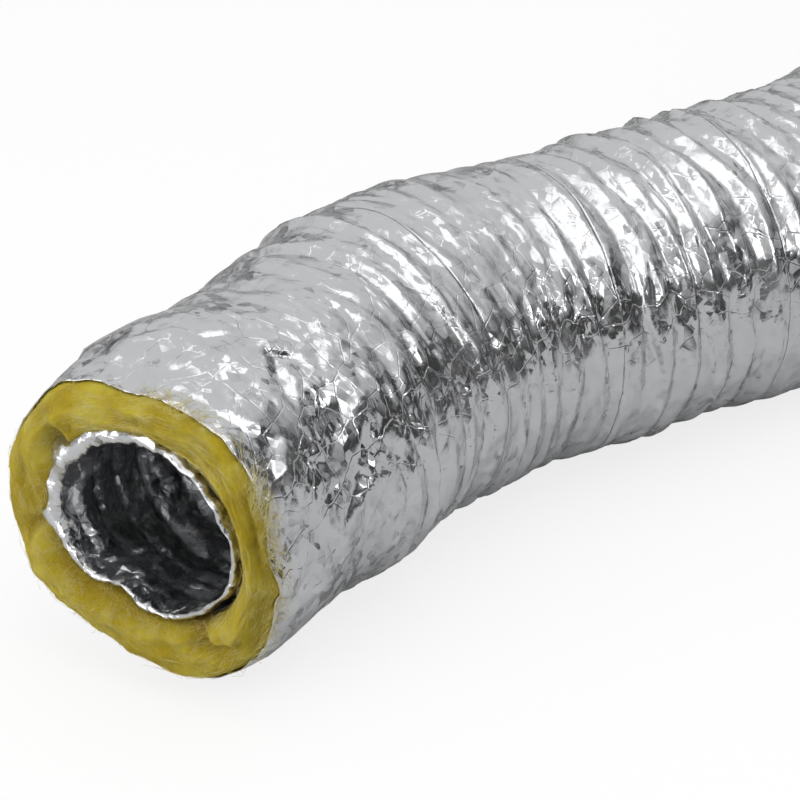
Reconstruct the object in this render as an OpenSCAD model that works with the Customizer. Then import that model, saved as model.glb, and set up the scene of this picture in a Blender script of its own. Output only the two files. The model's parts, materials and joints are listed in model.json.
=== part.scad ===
// Insulated flexible air duct, one cut length lying in a slack S on a flat surface.
// A laminated foil core with a steel wire helix between its two plies carries the air. A glass wool
// blanket wraps the core, and a crinkled foil jacket holds the blanket in.
// The duct is divided into stretches so that it can flex. Two stretches meet at a ball-shaped cut where
// the duct bends or lifts, and at a flat cut where it pulls out longer.
// Origin: centre of the front mouth. +X runs into the front stretch along its axis, +Z is up.

/* [Duct] */
// Length along the centreline, from mouth to mouth
duct_len = 1000; // [900:10:1500]
// Length of each end stretch, which slips over a collar
end_len = 155; // [135:5:200]
// Inner diameter of the core
bore_d = 127; // [100:1:160]
// Turn to the left at each of the seven cuts, from front to rear, in degrees
rest_turns = [-7, -18, 0, 16, 0, 8, 2]; // [-18:1:18]

/* [Layers] */
// Thickness of each foil ply of the core
ply_t = 0.4; // [0.2:0.1:1]
// Diameter of the helix wire
wire_d = 1.2; // [0.8:0.1:2]
// Distance between two turns of the helix
wire_pitch = 25; // [20:1:40]
// Room for the wire between the plies, beyond its own diameter
wire_play = 1; // [0.9:0.1:2]
// Thickness of the glass wool blanket
wool_t = 22.5; // [15:0.5:50]
// Thickness of the foil jacket
jacket_t = 0.5; // [0.3:0.1:1.5]

/* [Fits] */
// Radial gap between two layers
layer_gap = 0.2; // [0.1:0.05:0.4]
// Gap between two stretches where they meet
cut_gap = 0.4; // [0.3:0.05:0.8]
// How far the ball-shaped cuts stand outside the jacket
ball_rise = 9; // [7:0.5:14]

/* [Hidden] */
$fn = 128;
STRETCHES = 8;

// A ball-shaped cut lets its two stretches turn: one ends in a nose inside the ball, and the other in a
// socket round it. NOSE puts the nose on the stretch in front of the cut, and SOCKET on the one behind,
// so that nothing reaches into the straight bore of an end stretch. A flat cut lets stretches slide apart.
NOSE = "nose";
SOCKET = "socket";
FLAT = "flat";
MOUTH = "mouth";
CUTS = [MOUTH, NOSE, NOSE, FLAT, SOCKET, FLAT, SOCKET, SOCKET, MOUTH];

mid_len = (duct_len - 2 * end_len) / (STRETCHES - 2);

inner_ply_r = bore_d / 2;
channel_r = inner_ply_r + ply_t;
outer_ply_r = channel_r + wire_d + wire_play;
wire_r = outer_ply_r - layer_gap - wire_d / 2;
wool_r = outer_ply_r + ply_t + layer_gap;
jacket_r = wool_r + wool_t + layer_gap;
duct_r = jacket_r + jacket_t;
ball_r = duct_r + ball_rise;

foil_colour = "silver";
liner_colour = "darkgray";
wool_colour = "khaki";
steel_colour = "dimgray";

// Facets of the helix wire
WIRE_RINGS_PER_TURN = 24;
WIRE_SIDES = 6;

// Lengths, headings and start points of the stretches, counted from 1.
function stretch_len(k) = k == 1 || k == STRETCHES ? end_len : mid_len;
function heading(k) = k == 1 ? 0 : heading(k - 1) + rest_turns[k - 2];
function along(k) = [cos(heading(k)), sin(heading(k)), 0];
function start(k) = k == 1 ? [0, 0, 0] : start(k - 1) + stretch_len(k - 1) * along(k - 1);
function run_before(k) = k == 1 ? 0 : run_before(k - 1) + stretch_len(k - 1);

// Where a layer of radius r begins and ends in stretch k, measured along the stretch.
function ball_reach(radius, r) = sqrt(radius * radius - r * r);
function nose_reach(r) = ball_reach(ball_r, r);
function socket_reach(r) = ball_reach(ball_r + cut_gap, r);
function layer_start(k, r) =
    CUTS[k - 1] == SOCKET ? -nose_reach(r)
    : CUTS[k - 1] == NOSE ? socket_reach(r)
    : CUTS[k - 1] == FLAT ? cut_gap
    : 0;
function layer_end(k, r) =
    stretch_len(k) + (CUTS[k] == NOSE ? nose_reach(r) : CUTS[k] == SOCKET ? -socket_reach(r) : 0);

module place(k) {
    translate(start(k)) rotate([0, 0, heading(k)]) children();
}

module along_x(from, length, r) {
    translate([from, 0, 0]) rotate([0, 90, 0]) cylinder(h = length, r = r);
}

// What lies beyond a nose, on the side of its cut that the stretch doesn't fill.
module around_nose(side) {
    difference() {
        along_x(side < 0 ? -2 * ball_r : 0, 2 * ball_r, duct_r + 2 * ball_rise);
        sphere(r = ball_r);
    }
}

// One layer of one stretch: a tube from radius r, t thick, trimmed by the cut at each end.
module layer(k, r, t) {
    from = CUTS[k - 1] == SOCKET ? -ball_r : CUTS[k - 1] == FLAT ? cut_gap : 0;
    to = stretch_len(k) + (CUTS[k] == NOSE ? ball_r : 0);
    place(k) difference() {
        along_x(from, to - from, r + t);
        along_x(from - 1, to - from + 2, r);
        if (CUTS[k - 1] == SOCKET) around_nose(-1);
        if (CUTS[k - 1] == NOSE) sphere(r = ball_r + cut_gap);
        translate([stretch_len(k), 0, 0]) {
            if (CUTS[k] == NOSE) around_nose(1);
            if (CUTS[k] == SOCKET) sphere(r = ball_r + cut_gap);
        }
    }
}

module jacket(k) color(foil_colour) layer(k, jacket_r, jacket_t);

module wool(k) color(wool_colour) layer(k, wool_r, wool_t);

module core_outer_ply(k) color(foil_colour) layer(k, outer_ply_r, ply_t);

module core_inner_ply(k) color(liner_colour) layer(k, inner_ply_r, ply_t);

// A point of the wire's cross-section: x is the distance along the stretch, a the angle round the
// wire. The helix's phase runs on from one stretch to the next.
function wire_point(k, x, a) =
    let (
        turn = 360 * (run_before(k) + x) / wire_pitch,
        outward = [0, cos(turn), sin(turn)],
        rise = atan2(wire_pitch, 2 * PI * wire_r),
        across = [cos(rise), sin(rise) * sin(turn), -sin(rise) * cos(turn)]
    )
    [x, 0, 0] + wire_r * outward + wire_d / 2 * (cos(a) * outward + sin(a) * across);

module helix_wire(k) {
    from = layer_start(k, wire_r) + (CUTS[k - 1] == MOUTH ? wire_d : wire_d / 2 + layer_gap);
    to = layer_end(k, wire_r) - (CUTS[k] == MOUTH ? wire_d : wire_d / 2 + layer_gap);
    rings = ceil((to - from) / wire_pitch * WIRE_RINGS_PER_TURN);
    n = WIRE_SIDES;
    points = [
        for (i = [0:rings], j = [0:n - 1])
            wire_point(k, from + (to - from) * i / rings, 360 * j / n)
    ];
    walls = [
        for (i = [0:rings - 1], j = [0:n - 1])
            let (here = i * n + j, beside = i * n + (j + 1) % n)
            [here, beside, beside + n, here + n]
    ];
    front_cap = [for (j = [n - 1:-1:0]) j];
    rear_cap = [for (j = [0:n - 1]) rings * n + j];
    color(steel_colour) place(k) polyhedron(points, concat([front_cap], walls, [rear_cap]), convexity = 4);
}

for (k = [1:STRETCHES]) {
    jacket(k);
    wool(k);
    core_outer_ply(k);
    helix_wire(k);
    core_inner_ply(k);
}
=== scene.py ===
"""Looks of an insulated flexible air duct: a cut length of five layers, lying in a slack S."""
import json
import math

import bpy
import numpy as np
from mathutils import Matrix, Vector


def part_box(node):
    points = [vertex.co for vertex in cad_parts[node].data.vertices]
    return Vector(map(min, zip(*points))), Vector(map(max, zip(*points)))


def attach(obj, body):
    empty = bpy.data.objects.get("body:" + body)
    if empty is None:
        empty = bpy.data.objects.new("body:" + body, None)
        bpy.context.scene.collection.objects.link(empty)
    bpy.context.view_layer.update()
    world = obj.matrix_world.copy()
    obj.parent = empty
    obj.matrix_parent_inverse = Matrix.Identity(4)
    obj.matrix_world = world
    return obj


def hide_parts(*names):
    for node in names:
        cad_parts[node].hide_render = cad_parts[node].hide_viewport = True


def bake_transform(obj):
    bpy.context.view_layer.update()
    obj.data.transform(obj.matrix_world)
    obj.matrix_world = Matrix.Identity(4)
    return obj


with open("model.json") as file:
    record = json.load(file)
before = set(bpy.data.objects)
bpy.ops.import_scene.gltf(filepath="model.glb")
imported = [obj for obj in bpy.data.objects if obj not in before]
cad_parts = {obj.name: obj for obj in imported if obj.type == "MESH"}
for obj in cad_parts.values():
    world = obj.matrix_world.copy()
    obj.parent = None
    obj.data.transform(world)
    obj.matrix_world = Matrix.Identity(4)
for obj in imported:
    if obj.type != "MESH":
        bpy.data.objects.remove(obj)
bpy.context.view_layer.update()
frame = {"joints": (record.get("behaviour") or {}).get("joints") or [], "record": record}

MM = 0.001

# ---------------------------------------------------------------------------------------------------
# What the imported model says: the route of the duct, and the radius of each layer.

mounts = {m["name"]: m for m in frame["record"]["mounts"]}
joints = {j["name"]: j for j in frame["joints"]}

# The joints from front to rear, with the two bodies that each one joins.
CROSSINGS = [
    ("front_lift", "front_end", "stretch_2"),
    ("front_bend", "stretch_2", "stretch_3"),
    ("front_pull", "stretch_3", "stretch_4"),
    ("middle_bend", "stretch_4", "stretch_5"),
    ("rear_pull", "stretch_5", "stretch_6"),
    ("rear_bend", "stretch_6", "stretch_7"),
    ("rear_lift", "stretch_7", "rear_end"),
]
STRETCHES = len(CROSSINGS) + 1

corners = np.array(
    [mounts["front_collar"]["pos_m"][:2]]
    + [joints[name]["pos_m"][:2] for name, _, _ in CROSSINGS if joints[name]["type"] == "hinge"]
    + [mounts["rear_collar"]["pos_m"][:2]]
)
legs = np.diff(corners, axis=0)
leg_lengths = np.linalg.norm(legs, axis=1)
leg_headings = np.unwrap(np.arctan2(legs[:, 1], legs[:, 0]))
corner_at = np.concatenate([[0.0], np.cumsum(leg_lengths)])
LENGTH = corner_at[-1]

# A joint with no corner is a straight pull, halfway along its leg.
hinge_at = iter(corner_at[1:-1])
crossing_at = [
    next(hinge_at) if joints[name]["type"] == "hinge" else None for name, _, _ in CROSSINGS
]
for k, place_along in enumerate(crossing_at):
    if place_along is None:
        crossing_at[k] = (crossing_at[k - 1] + crossing_at[k + 1]) / 2
# Each layer is made in seven lengths, one for each joint, which meet halfway between the joints.
meeting_at = [0.0] + [(a + b) / 2 for a, b in zip(crossing_at, crossing_at[1:])] + [LENGTH]

BORE_R = mounts["front_collar"]["dims"]["r_mm"] * MM
DUCT_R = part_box("jacket_1")[1].z
OUTER_PLY_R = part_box("core_outer_ply_1")[1].z
FLOOR_Z = -DUCT_R

# ---------------------------------------------------------------------------------------------------
# The centreline: straight legs with a round bend at each corner.

BEND_RUN = 50 * MM  # how far a bend reaches to each side of its corner


def centreline(along):
    """Points on the floor plan and headings, at distances along the duct."""
    along = np.asarray(along, float)
    leg = np.clip(np.searchsorted(corner_at, along, "right") - 1, 0, len(legs) - 1)
    heading = leg_headings[leg]
    run = along - corner_at[leg]
    x = corners[leg, 0] + run * np.cos(heading)
    y = corners[leg, 1] + run * np.sin(heading)
    for k in range(1, len(legs)):
        turn = leg_headings[k] - leg_headings[k - 1]
        share = (along - corner_at[k]) / (2 * BEND_RUN) + 0.5
        bent = (share > 0) & (share < 1)
        if abs(turn) < 1e-6 or not bent.any():
            continue
        radius = BEND_RUN / math.tan(turn / 2)
        ahead = legs[k - 1] / leg_lengths[k - 1]
        left = np.array([-ahead[1], ahead[0]])
        angle = turn * share[bent]
        start = corners[k] - BEND_RUN * ahead
        x[bent] = start[0] + radius * (np.sin(angle) * ahead[0] + (1 - np.cos(angle)) * left[0])
        y[bent] = start[1] + radius * (np.sin(angle) * ahead[1] + (1 - np.cos(angle)) * left[1])
        heading = np.where(bent, leg_headings[k - 1] + turn * np.clip(share, 0, 1), heading)
    return x, y, heading


def at(along, turn, radius):
    """Points round the centreline. turn is the share of a turn, from the left side up over the top."""
    x, y, heading = centreline(along)
    angle = 2 * math.pi * turn
    sideways = radius * np.cos(angle)
    up = radius * np.sin(angle)
    return np.stack([x - sideways * np.sin(heading), y + sideways * np.cos(heading), up], -1)


def middle(along):
    """A point of the centreline."""
    return at(np.array([along]), np.array([0.0]), np.array([0.0]))[0]


# ---------------------------------------------------------------------------------------------------
# Relief: hills and creases over the unrolled surface, along the duct and round it.

NET = 64  # rows of random values before a net repeats


def eased(share):
    share = np.clip(share, 0, 1)
    return share * share * (3 - 2 * share)


def bump(value, centre, width):
    """A hill of height 1 round centre, gone at width from it."""
    return eased(1 - np.abs(value - centre) / width)


def round_bump(turn, centre, width):
    """The same, round the duct."""
    off = np.abs((turn - centre + 0.5) % 1 - 0.5)
    return eased(1 - off / width)


def hills(along, turn, length, cells, seed):
    """Soft hills from -1 to 1, about length long and cells of them round the duct."""
    heights = np.random.default_rng(seed).uniform(-1, 1, (NET, cells))
    x, y = along / length, turn * cells
    i, j = np.floor(x).astype(int), np.floor(y).astype(int)
    u, v = eased(x - i), eased(y - j)
    low = heights[i % NET, j % cells] * (1 - v) + heights[i % NET, (j + 1) % cells] * v
    high = heights[(i + 1) % NET, j % cells] * (1 - v) + heights[(i + 1) % NET, (j + 1) % cells] * v
    return low * (1 - u) + high * u


def facets(along, turn, length, cells, seed, pleated=False):
    """Flat facets with straight creases between them, from -1 to 1: a net of random heights.
    Pleated, every other row of the net is a ridge and the rows between are valleys."""
    rng = np.random.default_rng(seed)
    shift = rng.uniform(-0.42, 0.42, (2, NET, cells))
    heights = rng.uniform(-1, 1, (NET, cells))
    flipped = rng.random((NET, cells)) < 0.5
    if pleated:
        rows = np.where(np.arange(NET) % 2, 1.0, -1.0)[:, None]
        heights = rows * (0.15 + 0.85 * np.abs(heights))
    x, y = np.broadcast_arrays(along / length, turn * cells)
    here_i, here_j = np.floor(x).astype(int), np.floor(y).astype(int)
    found = np.zeros(x.shape)

    def corner(i, j):
        a, b = i % NET, j % cells
        return i + shift[0, a, b], j + shift[1, a, b], heights[a, b]

    for di in (-1, 0, 1):
        for dj in (-1, 0, 1):
            i, j = here_i + di, here_j + dj
            near, beside, behind, across = (
                corner(i, j), corner(i, j + 1), corner(i + 1, j), corner(i + 1, j + 1)
            )
            flip = flipped[i % NET, j % cells]
            for half in (0, 1):
                one = [np.where(flip, a, b) for a, b in zip(near, beside)]
                two = [np.where(flip, a, b) for a, b in zip(across, behind)]
                three = [np.where(flip, a, b) for a, b in zip((beside, behind)[half], (near, across)[half])]
                area = (two[0] - one[0]) * (three[1] - one[1]) - (three[0] - one[0]) * (two[1] - one[1])
                area = np.where(np.abs(area) < 1e-9, 1e-9, area)
                b = ((x - one[0]) * (three[1] - one[1]) - (three[0] - one[0]) * (y - one[1])) / area
                c = ((two[0] - one[0]) * (y - one[1]) - (x - one[0]) * (two[1] - one[1])) / area
                inside = (b >= 0) & (c >= 0) & (b + c <= 1)
                found = np.where(inside, one[2] + b * (two[2] - one[2]) + c * (three[2] - one[2]), found)
    return found


# ---------------------------------------------------------------------------------------------------
# Making a layer: a flat sheet is rolled up round the centreline.


def only(obj):
    """Leaves obj alone selected and active."""
    bpy.ops.object.select_all(action="DESELECT")
    obj.select_set(True)
    bpy.context.view_layer.objects.active = obj


SEAM_TURN = 0.75  # the sheet's edges meet underneath


def rolled(name, along, radius, values=None):
    """A closed sleeve from a flat sheet. along and radius are rings by points round the duct, over the
    outside of the wall and back through its inside. values are more numbers for each point, by name."""
    rings, around = along.shape
    bpy.ops.mesh.primitive_grid_add(x_subdivisions=rings, y_subdivisions=around, size=2)
    obj = bpy.context.object
    obj.name = obj.data.name = name
    mesh = obj.data
    flat = np.empty(len(mesh.vertices) * 3, np.float32)
    mesh.vertices.foreach_get("co", flat)
    flat = flat.reshape(-1, 3)
    ring = np.rint((flat[:, 0] + 1) / 2 * rings).astype(int) % rings
    step = np.rint((flat[:, 1] + 1) / 2 * around).astype(int) % around
    turn = step / around + SEAM_TURN
    where = at(along[ring, step], turn, radius[ring, step])
    where[:, 2] = np.maximum(where[:, 2], FLOOR_Z)
    mesh.vertices.foreach_set("co", where.astype(np.float32).ravel())
    # where each point is on the straightened duct, so that a pattern stays on it as it bends
    straight = np.stack(
        [
            along[ring, step],
            radius[ring, step] * np.cos(2 * math.pi * turn),
            radius[ring, step] * np.sin(2 * math.pi * turn),
        ],
        -1,
    )
    mesh.attributes.new("straightened", "FLOAT_VECTOR", "POINT")
    mesh.attributes["straightened"].data.foreach_set("vector", straight.astype(np.float32).ravel())
    for key, field in (values or {}).items():
        mesh.attributes.new(key, "FLOAT", "POINT")
        mesh.attributes[key].data.foreach_set("value", field[ring, step].astype(np.float32))
    only(obj)
    bpy.ops.object.mode_set(mode="EDIT")
    bpy.ops.mesh.select_all(action="SELECT")
    bpy.ops.mesh.remove_doubles(threshold=1e-7)
    bpy.ops.mesh.normals_make_consistent(inside=False)
    bpy.ops.object.mode_set(mode="OBJECT")
    bpy.ops.object.shade_smooth()
    return obj


def grid(stations, around):
    """Distances along and shares of a turn, rings by points round the duct."""
    turns = np.arange(around) / around + SEAM_TURN
    return np.meshgrid(np.asarray(stations, float), turns, indexing="ij")


def steps(start, end, step):
    return np.linspace(start, end, max(2, int(round((end - start) / step)) + 1))


HIDDEN_STEP = 3  # one ring of a wall's hidden face for this many of its shown face


def hidden_face(shown, clear_of):
    """The coarser rings of a wall's hidden face, which clear every fold between them: their indices and
    radii. clear_of is np.min behind an outside, and np.max behind an inside."""
    rings = np.unique(np.append(np.arange(0, len(shown), HIDDEN_STEP), len(shown) - 1))
    near = [shown[max(0, i - HIDDEN_STEP + 1) : i + HIDDEN_STEP] for i in rings]
    return rings, np.stack([clear_of(part, axis=0) for part in near])


END_BEND = 60 * MM  # how far past the end joints towards the mouths the span of an end length in crossing() reaches
STIFF = 16 * MM  # how far short of where the lengths meet the span of each length in crossing() stops


def crossing(obj, k, layer):
    """Length k of a layer stands for the layer at joint k, baked into place: the imported part there is
    hidden, and at the last joint the last part too.
    """
    _, ahead, behind = CROSSINGS[k]
    first, last = k == 0, k == len(CROSSINGS) - 1
    start = crossing_at[k] - END_BEND if first else meeting_at[k] + STIFF
    end = crossing_at[k] + END_BEND if last else meeting_at[k + 1] - STIFF
    middle(start)
    middle(end)
    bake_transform(obj)
    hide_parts(f"{layer}_{k + 1}", *([f"{layer}_{STRETCHES}"] if last else []))


# ---------------------------------------------------------------------------------------------------
# The shape that the mouths are squeezed into. It dies away along the duct. The rear mouth has the same
# shape seen from behind, turned round the duct.

REAR_TURN = 0.9


def at_mouths(along, turn, reach, shape):
    front = 1 - eased(along / reach)
    rear = 1 - eased((LENGTH - along) / reach)
    return front * shape(turn) + rear * shape(REAR_TURN - turn)


def jacket_mouth(turn):
    """The jacket's rim is pressed in most at the lower left."""
    return MM * (
        -1.5
        - 12.0 * round_bump(turn, 0.80, 0.15)
        - 4.5 * round_bump(turn, 0.93, 0.10)
        - 6.0 * round_bump(turn, 0.24, 0.10)
        - 4.0 * round_bump(turn, 0.47, 0.05)
        + 3.5 * round_bump(turn, 0.375, 0.07)
    )


def core_mouth(turn):
    """The core's cut helix has closed up, and lies off centre towards the upper right."""
    angle = 2 * math.pi * turn
    return MM * (
        -11.0
        + 12.0 * np.cos(angle - math.radians(142))
        + 4.3 * np.cos(2 * (angle - math.radians(165)))
        - 5.0 * round_bump(turn, 0.785, 0.12)
    )


MOUTH_REACH = 75 * MM


# ---------------------------------------------------------------------------------------------------
# The jacket: a foil laminate sleeve, crumpled at its ends and pleated round its middle

# Heights of the relief, in mm
PLEATS = 3.1
SMALL_PLEATS = 1.2
FACETS = 2.0
SMALL_FACETS = 0.8
SWELL = 2.0
SLACK = 2.5  # how far the relief's middle lies inside the jacket's own radius

# Pleats begin this far from a mouth, and have their full height after a further run, in mm.
PLEATS_FROM = 70
PLEATS_RUN = 110


def pleating(along):
    """From 0 at the mouths, where the jacket is only crumpled, to 1 where it is all in pleats."""
    return eased((np.minimum(along, LENGTH - along) / MM - PLEATS_FROM) / PLEATS_RUN)


def jacket_relief(along, turn):
    """How far the jacket stands off its own radius, in metres."""
    s = np.minimum(along, LENGTH - along) / MM  # from the nearer mouth
    under = round_bump(turn, 0.75, 0.30)
    top = round_bump(turn, 0.16, 0.24)
    pleated = pleating(along)

    # pleats run round the duct on a wandering slant, and are stronger in some places than in others
    slant = along + 10 * MM * np.sin(2 * math.pi * (turn + 0.1))
    slant = slant + 5 * MM * hills(along, turn, 60 * MM, 5, 11)
    slant = slant + 3 * MM * hills(along, turn, 26 * MM, 11, 12)
    shifted = turn + 0.012 * hills(along, turn, 30 * MM, 9, 13)
    strength = np.clip(0.8 + 0.6 * hills(along, turn, 45 * MM, 6, 15), 0.2, 1.4) * (1 - 0.35 * under)
    pleats = PLEATS * facets(slant, shifted, 10.5 * MM, 11, 14, True)
    pleats = pleats + SMALL_PLEATS * facets(slant, shifted, 5 * MM, 23, 16)

    # facets of every direction, with the small ones in patches
    broad = FACETS * facets(along, shifted, 15 * MM, 34, 21)
    dense = np.clip(1.6 * hills(along, turn, 24 * MM, 16, 24) + 0.4, 0.15, 1)
    fine = SMALL_FACETS * dense * facets(along, turn, 8 * MM, 66, 22)
    crumple = broad * (1 - 0.6 * pleated) * (1 - 0.3 * under) + fine * (1 - 0.5 * pleated)

    # the slow swells of its outline: a neck and a shoulder behind each mouth, and lobes along one side
    swell = SWELL * hills(along, turn, 70 * MM, 4, 31)
    neck = -2.0 * bump(s, 70, 32) * (1 - 0.6 * under) * (1 - top) + 3.0 * bump(s, 118, 46) * (1 - top)
    neck = neck + top * (6.5 * bump(s, 50, 50) - 1.0 * bump(s, 118, 34) + 9.5 * bump(s, 225, 105))
    lobes = 3.5 * np.abs(np.sin(math.pi * (along / MM - 88) / 107)) * round_bump(turn, 0.62, 0.17)
    return (pleats * strength * pleated + crumple + swell * pleated + neck + lobes - SLACK) * MM


def jacket_radius(along, turn):
    return DUCT_R + jacket_relief(along, turn) + at_mouths(along, turn, MOUTH_REACH, jacket_mouth)


def ragged_edge(turn):
    """How far back the jacket was cut, in metres."""
    return MM * (2.5 + 1.5 * facets(0.5, turn, 1, 60, 41) + 2 * hills(0.5, turn, 1, 9, 42))


AROUND_JACKET = 432
JACKET_STEP = 1.35 * MM
JACKET_T = 0.5 * MM
RAGGED_RUN = 30 * MM  # the rings even out over this run behind the cut edge


def jacket(k):
    start, end = meeting_at[k], meeting_at[k + 1]
    along, turn = grid(steps(start, end, JACKET_STEP), AROUND_JACKET)
    if k == 0:
        along = along + (1 - eased(along / RAGGED_RUN)) * ragged_edge(turn)
    if k == len(CROSSINGS) - 1:
        along = along - (1 - eased((LENGTH - along) / RAGGED_RUN)) * ragged_edge(REAR_TURN - turn)
    outer = jacket_radius(along, turn)
    rings, lowest = hidden_face(outer, np.min)
    rings, lowest = rings[::-1], lowest[::-1]
    piece = rolled(
        f"jacket_foil_{k + 1}",
        np.concatenate([along, along[rings]]),
        np.concatenate([outer, lowest - JACKET_T]),
        {"pleated": np.concatenate([pleating(along), pleating(along[rings])])},
    )
    crossing(piece, k, "jacket")
    return piece


# ---------------------------------------------------------------------------------------------------
# The core: two plies of foil laminate with a steel wire helix between them

PLY_T = 0.35 * MM
PLIES_APART = OUTER_PLY_R - BORE_R - 0.8 * MM  # from the inner face of the core to the outer ply
WIRE_R = 0.6 * MM
WIRE_OUT = 2.0 * MM  # from the inner face of the core to the middle of the wire
WIRE_PITCH = 25 * MM
POINTS_PER_TURN = 64
WIRE_INSET = 8 * MM  # from a mouth to the wire's end


def core_radius(along, turn):
    """The inner face of the core. It stands out at each turn of the wire and sags between the turns."""
    between = np.abs(np.sin(math.pi * (along / WIRE_PITCH - turn))) ** 0.8
    sag = -(4.0 + 1.2 * hills(along, turn, 30 * MM, 7, 51)) * between
    creases = 2.3 * facets(along, turn, 16 * MM, 34, 52) + 0.8 * facets(along, turn, 6 * MM, 80, 53)
    relief = sag + creases * (0.3 + 0.7 * between)
    return BORE_R + relief * MM + at_mouths(along, turn, MOUTH_REACH, core_mouth)


# The turned-back rim, from inside to outside: distance from the mouth, height over the inner face, and
# how loose the foil is there, in mm.
CUFF = np.array(
    [
        (4.5, 0.0, 0.3),
        (0.0, 0.1, 0.6),
        (-4.5, 0.2, 0.8),
        (-6.6, 0.6, 0.8),
        (-7.6, 1.6, 0.9),
        (-7.2, 2.9, 1.0),
        (-5.6, 3.9, 1.0),
        (-3.4, 4.4, 1.2),
        (-0.8, 4.6, 1.2),
        (2.0, 4.7, 1.3),
        (4.2, 4.9, 1.5),
        (4.4, 3.6, 1.2),
        (3.0, 2.6, 0.4),
    ]
)
CUFF_RINGS = 34


def cuff(turn):
    """Rings of the turned-back rim: distance from the mouth, and height over the inner face. It is
    crumpled except where its fold has stayed smooth, on the right and below."""
    rough = 1 - 0.8 * round_bump(turn, 0.57, 0.19)
    wide = 1 + 2.3 * round_bump(turn, 0.07, 0.30)
    tuft = round_bump(turn, 0.985, 0.03)
    path = np.concatenate([[0], np.cumsum(np.hypot(*np.diff(CUFF[:, :2], axis=0).T))])
    for run in np.linspace(0, path[-1], CUFF_RINGS):
        s, height, loose = (np.interp(run, path, column) for column in CUFF.T)
        folds = facets(run, turn, 7.0, 46, 61) + 0.5 * facets(run, turn, 3.5, 90, 62)
        ragged = 0.4 * facets(run, turn, 9.0, 37, 63) + 0.9 * facets(run, turn, 20.0, 15, 64)
        yield (
            (s + loose * (1.2 * rough * ragged - 1.2 * tuft)) * MM,
            (height * wide + loose * rough * (1.4 * folds + 0.8 * tuft)) * MM,
        )


UNDER_RIM = 3  # rings of the inside that the rim takes the place of
BACK_UNDER_RIM = 2  # rings of the hidden face that the rim covers
AROUND_CORE = 400
CORE_STEP = 1.9 * MM
AROUND_HIDDEN_CORE = 200
HIDDEN_CORE_STEP = 2.2 * MM


def core_inner_ply(k):
    start, end = meeting_at[k], meeting_at[k + 1]
    first, last = k == 0, k == len(CROSSINGS) - 1
    if first or last:
        along, turn = grid(steps(start, end, CORE_STEP), AROUND_CORE)
    else:
        along, turn = grid(steps(start, end, HIDDEN_CORE_STEP), AROUND_HIDDEN_CORE)
    inner = core_radius(along, turn)
    backs, back = hidden_face(inner, np.max)
    back_along = along[backs]
    back = back + PLY_T
    front_rim, rear_rim = [], []
    kept = slice(None)
    if first:
        front_rim = [(s[None, :], inner[:1] + height) for s, height in cuff(turn[0])]
        kept = slice(UNDER_RIM + 1, None)
        back_along, back = back_along[BACK_UNDER_RIM:], back[BACK_UNDER_RIM:]
    if last:
        rear_rim = [(LENGTH - s[None, :], inner[-1:] + height) for s, height in cuff(REAR_TURN - turn[0])]
        kept = slice(None, -UNDER_RIM)
        back_along, back = back_along[:-BACK_UNDER_RIM], back[:-BACK_UNDER_RIM]
    rows = rear_rim[::-1] + [(along[kept][::-1], inner[kept][::-1])] + front_rim + [(back_along, back)]
    piece = rolled(
        f"core_inner_ply_foil_{k + 1}",
        np.concatenate([row for row, _ in rows]),
        np.concatenate([row for _, row in rows]),
    )
    crossing(piece, k, "core_inner_ply")
    return piece


AROUND_OUTER_PLY = 128
OUTER_PLY_STEP = 3.5 * MM
OUTER_PLY_INSET = 6 * MM  # from a mouth to the ply's edge


def run_of(k, inset):
    """Where length k of a layer starts and ends, if the layer stops short of each mouth."""
    start = meeting_at[k] + (inset if k == 0 else 0)
    end = meeting_at[k + 1] - (inset if k == len(CROSSINGS) - 1 else 0)
    return start, end


def core_outer_ply(k):
    start, end = run_of(k, OUTER_PLY_INSET)
    along, turn = grid(steps(start, end, OUTER_PLY_STEP), AROUND_OUTER_PLY)
    outer = BORE_R + PLIES_APART + at_mouths(along, turn, MOUTH_REACH, core_mouth)
    outer = outer + 0.3 * MM * facets(along, turn, 9 * MM, 40, 55)
    piece = rolled(
        f"core_outer_ply_foil_{k + 1}",
        np.concatenate([along, along[::-1]]),
        np.concatenate([outer + PLY_T, outer[::-1]]),
    )
    crossing(piece, k, "core_outer_ply")
    return piece


def helix_wire(k):
    """A length of the wire: a helix between the plies."""
    start, end = run_of(k, WIRE_INSET)
    along = steps(start, end, WIRE_PITCH / POINTS_PER_TURN)
    turn = along / WIRE_PITCH
    radius = BORE_R + WIRE_OUT + at_mouths(along, turn, MOUTH_REACH, core_mouth)
    piece = strands(f"helix_wire_turns_{k + 1}", [at(along, turn, radius)], WIRE_R, 1)
    crossing(piece, k, "helix_wire")
    return piece


def strands(name, paths, radius, roundness):
    """Thin round strands along paths, as one mesh."""
    curve = bpy.data.curves.new(name, "CURVE")
    curve.dimensions = "3D"
    curve.bevel_depth = radius
    curve.bevel_resolution = roundness
    curve.use_fill_caps = True
    for path in paths:
        spline = curve.splines.new("POLY")
        spline.points.add(len(path) - 1)
        spline.points.foreach_set("co", np.column_stack([path, np.ones(len(path))]).ravel())
    obj = bpy.data.objects.new(name, curve)
    bpy.context.collection.objects.link(obj)
    only(obj)
    bpy.ops.object.convert(target="MESH")
    bpy.ops.object.shade_smooth()
    return bpy.context.object


# ---------------------------------------------------------------------------------------------------
# The blanket: soft glass wool, which swells out past the layers round it at each mouth

UNDER_JACKET = 1.4 * MM  # from the jacket's outside to the wool
EDGE_BACK = 2 * MM  # where the jacket's rim is measured
OFF_CORE = 3.5 * MM  # from the inner face of the core to the inner edge of the wool's front face
RIM_POINTS = 720
RIM_TURNS = np.arange(RIM_POINTS) / RIM_POINTS
RIMS = [jacket_radius(np.full(RIM_POINTS, place), RIM_TURNS) for place in (EDGE_BACK, LENGTH - EDGE_BACK)]


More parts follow.
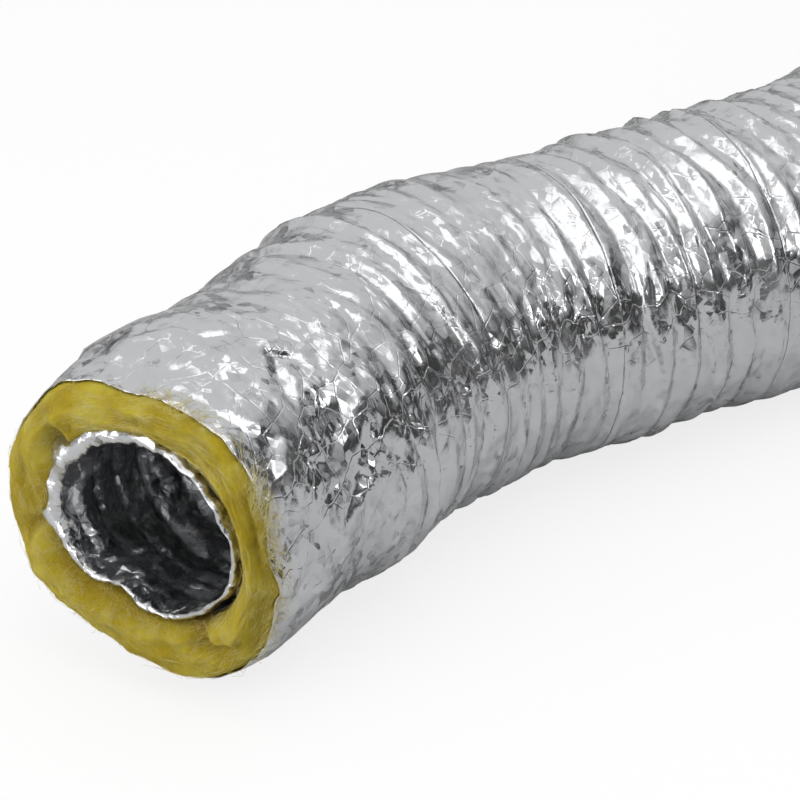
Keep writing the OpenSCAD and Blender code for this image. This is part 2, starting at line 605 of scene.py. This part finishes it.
def rim_radius(turn, rear):
    """The jacket's radius at its rim."""
    return np.interp(turn % 1, RIM_TURNS, RIMS[rear], period=1)


def lip(turn, share, rear):
    """The wool's front face at a mouth, from its outer edge at share 0 to its inner edge at share 1:
    distance from the mouth, radius, and painted shade for its colour, deepest in its folds and towards its
    inner edge, lighter on its lumps."""
    shown = REAR_TURN - turn if rear else turn
    outer = rim_radius(turn, rear) - UNDER_JACKET
    inner = BORE_R + OFF_CORE + core_mouth(shown)
    lumps = hills(share * 2.0, shown, 1, 9, 71) + 0.45 * hills(share * 4.5, shown, 1, 26, 72)
    fine = hills(share * 10, shown, 1, 90, 73) + 0.5 * hills(share * 17, shown, 1, 190, 74)
    fold = round_bump(shown + 0.02 * share, 0.128, 0.035) * eased(share * 1.4)
    fold = np.maximum(fold, 0.5 * round_bump(shown - 0.04 * share, 0.945, 0.02) * eased(share * 1.2))
    wander = 0.02 * hills(share * 3, shown, 1, 5, 75)
    fold = np.maximum(fold, 0.7 * round_bump(shown + wander, 0.615, 0.03) * eased(share * 1.5))
    free = round_bump(shown, 0.88, 0.36)  # where the wool overhangs the jacket's rim
    puff = 9.5 + 6.0 * free - 4.0 * round_bump(shown, 0.45, 0.16)
    across = np.sin(math.pi * np.clip(share, 0.0, 1.0)) ** 0.5
    forward = across * (puff + 5.0 * lumps + 0.8 * fine - 13 * fold)
    edge = 3.0 - 5.0 * share  # the outer edge starts behind the mouth, the inner edge ahead of it
    overhang = (3.5 * free * bump(share, 0.16, 0.15) + (1.6 * lumps + 0.3 * fine) * across) * MM
    # painted shade for the wool's colour: darker in folds and towards the inner edge beside the core,
    # lighter on lumps
    painted_shade = np.clip(fold + 0.6 * eased((share - 0.72) / 0.28) - 0.45 * lumps, 0, 1)
    return (edge - forward) * MM, outer + (inner - outer) * share + overhang, painted_shade


AROUND_WOOL = 300
AROUND_HIDDEN_WOOL = 100
WOOL_STEP = 4 * MM
LIP_RINGS = 42
OFF_PLY = 1.0 * MM  # from the outer ply to the wool
SHOWN_RUN = 45 * MM  # the wool fills the jacket at a mouth, and thins out over this run
HIDDEN_BACK = 8 * MM  # how much further inside the jacket it lies after that


def wool(k):
    start, end = meeting_at[k], meeting_at[k + 1]
    first, last = k == 0, k == len(CROSSINGS) - 1
    around = AROUND_WOOL if first or last else AROUND_HIDDEN_WOOL
    along, turn = grid(steps(start, end, WOOL_STEP), around)
    shown = 1 - eased(np.minimum(along, LENGTH - along) / SHOWN_RUN)
    outer = jacket_radius(along, turn) - UNDER_JACKET - HIDDEN_BACK * (1 - shown)
    inner = BORE_R + PLIES_APART + OFF_PLY + at_mouths(along, turn, MOUTH_REACH, core_mouth)
    shares = np.linspace(0, 1, LIP_RINGS + 2)[1:-1]
    front, rear = [], []
    kept = slice(None)
    if first:
        front = [lip(turn[:1], share, False) for share in shares[::-1]]
        kept = slice(1, None)
    if last:
        rear = [lip(turn[:1], share, True) for share in shares]
        rear = [(LENGTH - s, radius, painted_shade) for s, radius, painted_shade in rear]
        kept = slice(None, -1)
    along, outer, inner = along[kept], outer[kept], inner[kept]
    outside = [(along, outer, np.zeros_like(outer))]
    inside = [(along[::-1], inner[::-1], np.ones_like(inner))]
    rows = outside + rear + inside + front
    # the last value of each row is painted shade for the wool's colour: none on its outside, full on its
    # inside, and from lip() on its front faces
    piece = rolled(
        f"glass_wool_blanket_{k + 1}",
        np.concatenate([row for row, _, _ in rows]),
        np.concatenate([row for _, row, _ in rows]),
        {"painted_wool_shade": np.concatenate([row for _, _, row in rows])},
    )
    crossing(piece, k, "wool")
    return piece


WISPS = 2600
STRAGGLERS = 420
STRAGGLE_AT = [0.44, 0.43, 0.45, 0.30, 0.56]  # shares of a turn
WISP_R = 0.06 * MM
WISP_POINTS = 6


def wisps(name, body, rear):
    """Loose fibres drawn out of the cut wool. Most are combed round the mouth, and some straggle back
    over the jacket's rim."""
    rng = np.random.default_rng(81 + rear)
    run = np.linspace(0, 1, WISP_POINTS)
    paths = []
    for _ in range(WISPS):
        turn = rng.random() + run * rng.normal(0, 0.02)
        turn = turn + 0.008 * rng.normal() * np.sin(math.pi * run)
        share = np.clip(rng.uniform(0.02, 0.98) + run * rng.normal(0, 0.16), 0.0, 1.0)
        s, radius, _ = lip(turn, share, rear)
        lift = (0.1 + rng.exponential(0.7) * run ** 1.5) * MM
        s = s - lift * np.sin(math.pi * np.clip(share, 0.1, 0.9))
        radius = radius + lift * np.cos(math.pi * share)
        paths.append((s, turn, radius))
    for _ in range(STRAGGLERS):
        shown = rng.choice(STRAGGLE_AT) + rng.normal(0, 0.022)
        turn = (REAR_TURN - shown if rear else shown) + run * rng.normal(0, 0.025)
        s = (-3 + run * rng.uniform(6, 19)) * MM
        out = (rng.uniform(-1.5, 0.5) + rng.uniform(0.5, 3.5) * np.sin(2.2 * run)) * MM
        paths.append((s, turn, rim_radius(turn, rear) + out))
    piece = strands(name, [at(LENGTH - s if rear else s, turn, r) for s, turn, r in paths], WISP_R, 0)
    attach(piece, body)
    return piece


# ---------------------------------------------------------------------------------------------------
# Materials


def linear(colour):
    """sRGB hex to linear RGBA."""
    parts = [int(colour[i : i + 2], 16) / 255 for i in (1, 3, 5)]
    return [c / 12.92 if c <= 0.04045 else ((c + 0.055) / 1.055) ** 2.4 for c in parts] + [1.0]


def add(tree, kind, inputs=None, **settings):
    """Adds a node: settings are its own choices, and inputs its values or the sockets linked to it."""
    made = tree.nodes.new(kind)
    for key, value in settings.items():
        setattr(made, key, value)
    for key, value in (inputs or {}).items():
        if isinstance(value, bpy.types.NodeSocket):
            tree.links.new(value, made.inputs[key])
        else:
            made.inputs[key].default_value = value
    return made


def set_stops(ramp, stops):
    """Gives a colour ramp its stops: positions and linear colours, the lowest first."""
    elements = ramp.color_ramp.elements
    for element, (position, colour) in zip((elements[0], elements[1]), (stops[0], stops[-1])):
        element.position = position
        element.color = colour
    for position, colour in stops[1:-1]:
        elements.new(position).color = colour


def material(name):
    made = bpy.data.materials.new(name)
    made.use_nodes = True
    made.node_tree.nodes.clear()
    return made, made.node_tree


def leans(tree, where, size, lean, seed):
    """A small random lean for each cell of about size, which makes it a flat facet of creased foil."""
    shifted = add(
        tree, "ShaderNodeVectorMath", {0: where, 1: (seed, seed, seed)}, operation="ADD"
    ).outputs[0]
    cells = add(tree, "ShaderNodeTexVoronoi", {"Vector": shifted, "Scale": 1 / size, "Randomness": 1.0})
    ways = add(
        tree, "ShaderNodeVectorMath", {0: cells.outputs["Color"], 1: (0.5, 0.5, 0.5)}, operation="SUBTRACT"
    ).outputs[0]
    return add(tree, "ShaderNodeVectorMath", {0: ways, "Scale": 2 * lean}, operation="SCALE").outputs[0]


GROOVE = 0.5 * MM  # how far a crease line reaches to each side of its middle


def creases(tree, where, apart, depth, share):
    """The height of thin straight grooves, apart from each other by about that much."""
    cells = add(
        tree, "ShaderNodeTexVoronoi", {"Vector": where, "Scale": 1 / apart, "Randomness": 1.0},
        feature="DISTANCE_TO_EDGE",
    )
    groove = add(
        tree, "ShaderNodeMapRange",
        {
            "Value": cells.outputs["Distance"], "From Min": 0.0, "From Max": GROOVE / apart,
            "To Min": -depth, "To Max": 0.0,
        },
    ).outputs["Result"]
    return add(tree, "ShaderNodeMath", {0: groove, 1: share}, operation="MULTIPLY").outputs[0]


# Marks in the foil: how large or how far apart they are, and how deep
WAVE, WAVE_SHIFT = 12 * MM, 2 * MM
DENSE_PATCH = 20 * MM
LARGE_CELL, SMALL_CELL = 8.5 * MM, 4.4 * MM
LONG_CREASE, LONG_CREASE_DEPTH = 16 * MM, 0.11 * MM
SHORT_CREASE, SHORT_CREASE_DEPTH = 6.5 * MM, 0.05 * MM
SCUFF = 30 * MM


def foil_laminate(name, colour, roughness, lean):
    """Aluminium foil on polyester film: a mirror broken into small flat facets, with dense crumples in
    patches, long thin crease lines, and duller scuffs where it has been handled."""
    made, tree = material(name)
    lie = add(tree, "ShaderNodeAttribute", attribute_name="straightened").outputs["Vector"]
    wavy = add(tree, "ShaderNodeTexNoise", {"Vector": lie, "Scale": 1 / WAVE, "Detail": 2.0})
    waved = add(
        tree, "ShaderNodeVectorMath",
        {0: wavy.outputs["Color"], 1: (WAVE_SHIFT,) * 3, 2: lie}, operation="MULTIPLY_ADD",
    ).outputs[0]

    patches = add(tree, "ShaderNodeTexNoise", {"Vector": lie, "Scale": 1 / DENSE_PATCH, "Detail": 2.0})
    dense = add(
        tree, "ShaderNodeMapRange",
        {
            "Value": patches.outputs["Fac"], "From Min": 0.46, "From Max": 0.60,
            "To Min": 0.25, "To Max": 1.0,
        },
    ).outputs["Result"]
    # the facets are longer round the duct than along it
    stretched = add(
        tree, "ShaderNodeVectorMath", {0: waved, 1: (1.35, 1.0, 1.0)}, operation="MULTIPLY"
    ).outputs[0]
    # pleats pull the foil smoother
    pleated = add(tree, "ShaderNodeAttribute", attribute_name="pleated").outputs["Fac"]
    calm = add(
        tree, "ShaderNodeMapRange", {"Value": pleated, "To Min": 1.0, "To Max": 0.7}
    ).outputs["Result"]
    dense = add(tree, "ShaderNodeMath", {0: dense, 1: calm}, operation="MULTIPLY").outputs[0]
    large = leans(tree, stretched, LARGE_CELL, lean, 0.3)
    large = add(tree, "ShaderNodeVectorMath", {0: large, "Scale": calm}, operation="SCALE").outputs[0]
    small = leans(tree, stretched, SMALL_CELL, 1.1 * lean, 0.7)
    small = add(tree, "ShaderNodeVectorMath", {0: small, "Scale": dense}, operation="SCALE").outputs[0]
    both = add(tree, "ShaderNodeVectorMath", {0: large, 1: small}, operation="ADD").outputs[0]
    surface = add(tree, "ShaderNodeNewGeometry").outputs["Normal"]
    leaning = add(tree, "ShaderNodeVectorMath", {0: surface, 1: both}, operation="ADD").outputs[0]
    facing = add(tree, "ShaderNodeVectorMath", {0: leaning}, operation="NORMALIZE").outputs[0]

    long_creases = creases(tree, waved, LONG_CREASE, LONG_CREASE_DEPTH, calm)
    short_creases = creases(tree, waved, SHORT_CREASE, SHORT_CREASE_DEPTH, dense)
    groove = add(tree, "ShaderNodeMath", {0: long_creases, 1: short_creases}, operation="ADD").outputs[0]
    relief = add(
        tree, "ShaderNodeBump", {"Height": groove, "Distance": 1.0, "Strength": 1.0, "Normal": facing}
    )

    scuffs = add(
        tree, "ShaderNodeTexNoise", {"Vector": lie, "Scale": 1 / SCUFF, "Detail": 5.0, "Roughness": 0.6}
    )
    dull = add(
        tree, "ShaderNodeMapRange",
        {
            "Value": scuffs.outputs["Fac"], "From Min": 0.35, "From Max": 0.68,
            "To Min": roughness * 0.65, "To Max": roughness * 1.5,
        },
    ).outputs["Result"]
    shader = add(
        tree, "ShaderNodeBsdfPrincipled",
        {"Base Color": linear(colour), "Metallic": 1.0, "Roughness": dull, "Normal": relief.outputs[0]},
    )
    add(tree, "ShaderNodeOutputMaterial", {"Surface": shader.outputs[0]})
    return made


# The wool's fibres are far thinner than a tuft, so they are drawn as tufts with finer ones in them.
TUFT = 2.6 * MM
COMBING, COMBING_SHIFT = 10 * MM, 12 * MM  # how the tufts wander
CLOUD = 16 * MM  # patches of paler and darker wool
FLUFF = 3 * MM  # height of a tuft


def glass_wool():
    """Resin-bonded glass wool: a soft yellow felt with pale fibres on its skin, and painted shade in dark
    amber in its folds and at its inner edge.
    """
    made, tree = material("resin_bonded_glass_wool")
    lie = add(tree, "ShaderNodeAttribute", attribute_name="straightened").outputs["Vector"]
    # painted shade, from lip() and wool()
    painted_shade = add(tree, "ShaderNodeAttribute", attribute_name="painted_wool_shade").outputs["Fac"]
    wander = add(tree, "ShaderNodeTexNoise", {"Vector": lie, "Scale": 1 / COMBING, "Detail": 3.0})
    combed = add(
        tree, "ShaderNodeVectorMath",
        {0: wander.outputs["Color"], 1: (COMBING_SHIFT,) * 3, 2: lie}, operation="MULTIPLY_ADD",
    ).outputs[0]
    tufts = add(
        tree, "ShaderNodeTexNoise", {"Vector": combed, "Scale": 1 / TUFT, "Detail": 8.0, "Roughness": 0.8}
    )
    clouds = add(tree, "ShaderNodeTexNoise", {"Vector": lie, "Scale": 1 / CLOUD, "Detail": 3.0})
    ramp = add(tree, "ShaderNodeValToRGB", {"Fac": clouds.outputs["Fac"]})
    set_stops(ramp, [(0.30, linear("#B4990C")), (0.5, linear("#C6AF18")), (0.68, linear("#D4C342"))])
    # painted shade: the wool's colour mixed towards dark amber where it lies in shade
    wool_with_painted_shade = add(
        tree, "ShaderNodeMix",
        {"Factor": painted_shade, 6: ramp.outputs["Color"], 7: linear("#7E6008")}, data_type="RGBA",
    ).outputs[2]
    paleness = add(
        tree, "ShaderNodeMapRange",
        {"Value": tufts.outputs["Fac"], "From Min": 0.50, "From Max": 0.75, "To Min": 0.0, "To Max": 0.5},
    ).outputs["Result"]
    colour = add(
        tree, "ShaderNodeMix", {"Factor": paleness, 6: wool_with_painted_shade, 7: linear("#D2C87E")}, data_type="RGBA"
    ).outputs[2]
    fluff = add(
        tree, "ShaderNodeBump", {"Height": tufts.outputs["Fac"], "Distance": FLUFF, "Strength": 0.9}
    )
    shader = add(
        tree, "ShaderNodeBsdfPrincipled",
        {
            "Base Color": colour, "Roughness": 1.0, "Specular IOR Level": 0.1, "Normal": fluff.outputs[0],
            "Subsurface Weight": 0.5, "Subsurface Radius": (0.005, 0.0038, 0.0012), "Subsurface Scale": 1.0,
            "Sheen Weight": 0.2, "Sheen Roughness": 0.6, "Sheen Tint": linear("#E8DFA8"),
        },
    )
    add(tree, "ShaderNodeOutputMaterial", {"Surface": shader.outputs[0]})
    return made


def glass_fibre():
    """Loose glass fibres: near-clear threads with a little resin, pale yellow and faintly shiny."""
    made, tree = material("loose_glass_fibre")
    where = add(tree, "ShaderNodeTexCoord").outputs["Object"]
    blotches = add(tree, "ShaderNodeTexNoise", {"Vector": where, "Scale": 1 / 0.014, "Detail": 2.0})
    ramp = add(tree, "ShaderNodeValToRGB", {"Fac": blotches.outputs["Fac"]})
    set_stops(ramp, [(0.35, linear("#C4AE34")), (0.65, linear("#DCD28C"))])
    shader = add(
        tree, "ShaderNodeBsdfPrincipled",
        {"Base Color": ramp.outputs["Color"], "Roughness": 0.5, "Specular IOR Level": 0.4},
    )
    add(tree, "ShaderNodeOutputMaterial", {"Surface": shader.outputs[0]})
    return made


def spring_steel():
    """Hard-drawn spring wire: grey steel with fine drawing marks and a dull oil film."""
    made, tree = material("drawn_spring_steel")
    where = add(tree, "ShaderNodeTexCoord").outputs["Object"]
    marks = add(tree, "ShaderNodeTexNoise", {"Vector": where, "Scale": 1 / 0.0006, "Detail": 2.0})
    dull = add(
        tree, "ShaderNodeMapRange", {"Value": marks.outputs["Fac"], "To Min": 0.28, "To Max": 0.5}
    ).outputs["Result"]
    shader = add(
        tree, "ShaderNodeBsdfPrincipled",
        {"Base Color": linear("#8C8F92"), "Metallic": 1.0, "Roughness": dull},
    )
    add(tree, "ShaderNodeOutputMaterial", {"Surface": shader.outputs[0]})
    return made


# ---------------------------------------------------------------------------------------------------
# Camera, light and floor

CAMERA_LENS = 129.4
CAMERA_AZIMUTH = math.radians(-55.4)
CAMERA_ELEVATION = math.radians(30)
CAMERA_DISTANCE = 1.576
LOOKED_AT = Vector((0.185, -0.034, 0.0))


def camera():
    back = Vector(
        (
            math.sin(CAMERA_AZIMUTH) * math.cos(CAMERA_ELEVATION),
            -math.cos(CAMERA_AZIMUTH) * math.cos(CAMERA_ELEVATION),
            math.sin(CAMERA_ELEVATION),
        )
    )
    bpy.ops.object.camera_add(location=LOOKED_AT + back * CAMERA_DISTANCE)
    made = bpy.context.object
    made.name = "camera"
    made.rotation_euler = (-back).to_track_quat("-Z", "Y").to_euler()
    made.data.lens = CAMERA_LENS
    bpy.context.scene.camera = made


LIGHTS = [  # name, place, size in m, power in W
    ("overhead", (0.2, -0.4, 2.4), 2.4, 13),
    ("accent", (-0.5, -1.3, 2.3), 0.6, 1.9),
    ("before_mouth", (-2.2, 0.5, 0.9), 2.0, 32),
    ("right", (0.2, -2.4, 1.5), 0.8, 5),
]
LIT = Vector((0.4, 0, 0))  # the middle of the duct, which every light faces

# Brightness of the sky that the foil mirrors, from the horizon to the zenith
SKY = [(0.0, 0.04), (0.20, 0.045), (0.36, 0.30), (0.55, 0.52), (0.75, 0.68), (1.0, 0.72)]


def matt_white_floor():
    """White to the camera. What the foil mirrors is a greyer floor, and darker away from the duct."""
    made, tree = material("matt_white_floor")
    across = add(tree, "ShaderNodeTexCoord").outputs["Object"]
    across = add(tree, "ShaderNodeSeparateXYZ", {"Vector": across}).outputs["Y"]
    aside = add(tree, "ShaderNodeMath", {0: across}, operation="ABSOLUTE").outputs[0]
    level = add(
        tree, "ShaderNodeMapRange",
        {"Value": aside, "From Min": 0.3, "From Max": 1.8, "To Min": 0.62, "To Max": 0.28},
    ).outputs["Result"]
    grey = add(tree, "ShaderNodeBsdfDiffuse", {"Color": level})
    white = add(tree, "ShaderNodeBsdfDiffuse", {"Color": linear("#FFFFFF")})
    glow = add(tree, "ShaderNodeEmission", {"Color": linear("#FFFFFF"), "Strength": 1.0})
    shown = add(tree, "ShaderNodeMixShader", {0: 0.8, 1: white.outputs[0], 2: glow.outputs[0]})
    seen = add(tree, "ShaderNodeLightPath").outputs["Is Camera Ray"]
    either = add(tree, "ShaderNodeMixShader", {0: seen, 1: grey.outputs[0], 2: shown.outputs[0]})
    add(tree, "ShaderNodeOutputMaterial", {"Surface": either.outputs[0]})
    return made


def floor():
    bpy.ops.mesh.primitive_circle_add(vertices=96, radius=15, fill_type="NGON", location=(LIT.x, 0, FLOOR_Z))
    made = bpy.context.object
    made.name = "floor"
    made.data.materials.append(matt_white_floor())


def sky():
    """White to the camera, and a bright soft sky with a dark band along the horizon for the foil to mirror.
    The band is on the right of the duct only: on the left the sky is bright down to the floor."""
    world = bpy.data.worlds.new("studio")
    world.use_nodes = True
    tree = world.node_tree
    tree.nodes.clear()
    direction = add(tree, "ShaderNodeTexCoord").outputs["Generated"]
    split = add(tree, "ShaderNodeSeparateXYZ", {"Vector": direction}).outputs
    lifted = add(
        tree, "ShaderNodeMapRange",
        {"Value": split["Y"], "From Min": -0.25, "From Max": 0.35, "To Min": 0.0, "To Max": 0.40},
    ).outputs["Result"]
    height = add(tree, "ShaderNodeMath", {0: split["Z"], 1: lifted}, operation="ADD").outputs[0]
    ramp = add(tree, "ShaderNodeValToRGB", {"Fac": height})
    set_stops(ramp, [(position, (level, level, level, 1)) for position, level in SKY])
    mirrored = add(tree, "ShaderNodeBackground", {"Color": ramp.outputs["Color"], "Strength": 1.0})
    pale = add(tree, "ShaderNodeBackground", {"Color": linear("#FFFFFF"), "Strength": 1.0})
    seen = add(tree, "ShaderNodeLightPath").outputs["Is Camera Ray"]
    either = add(tree, "ShaderNodeMixShader", {0: seen, 1: mirrored.outputs[0], 2: pale.outputs[0]})
    add(tree, "ShaderNodeOutputWorld", {"Surface": either.outputs[0]})
    bpy.context.scene.world = world


def lights():
    for name, place, size, power in LIGHTS:
        bpy.ops.object.light_add(type="AREA", location=place)
        light = bpy.context.object
        light.name = name
        light.data.size = size
        light.data.energy = power
        light.rotation_euler = (LIT - Vector(place)).to_track_quat("-Z", "Y").to_euler()


# ---------------------------------------------------------------------------------------------------

camera()
floor()
sky()
lights()
bpy.context.scene.view_settings.view_transform = "Standard"

jacket_foil = foil_laminate("crinkled_jacket_foil", "#DADBDD", 0.20, 0.17)
core_foil = foil_laminate("core_foil", "#DDDEE0", 0.24, 0.20)
outer_ply_foil = foil_laminate("outer_ply_foil", "#B4B6BA", 0.3, 0.10)
LAYERS = [
    (jacket, jacket_foil),
    (wool, glass_wool()),
    (core_outer_ply, outer_ply_foil),
    (helix_wire, spring_steel()),
    (core_inner_ply, core_foil),
]
for make, finish in LAYERS:
    for k in range(len(CROSSINGS)):
        piece = make(k)
        piece.data.materials.append(finish)
loose = glass_fibre()
wisps("front_wisps", "front_end", False).data.materials.append(loose)
wisps("rear_wisps", "rear_end", True).data.materials.append(loose)
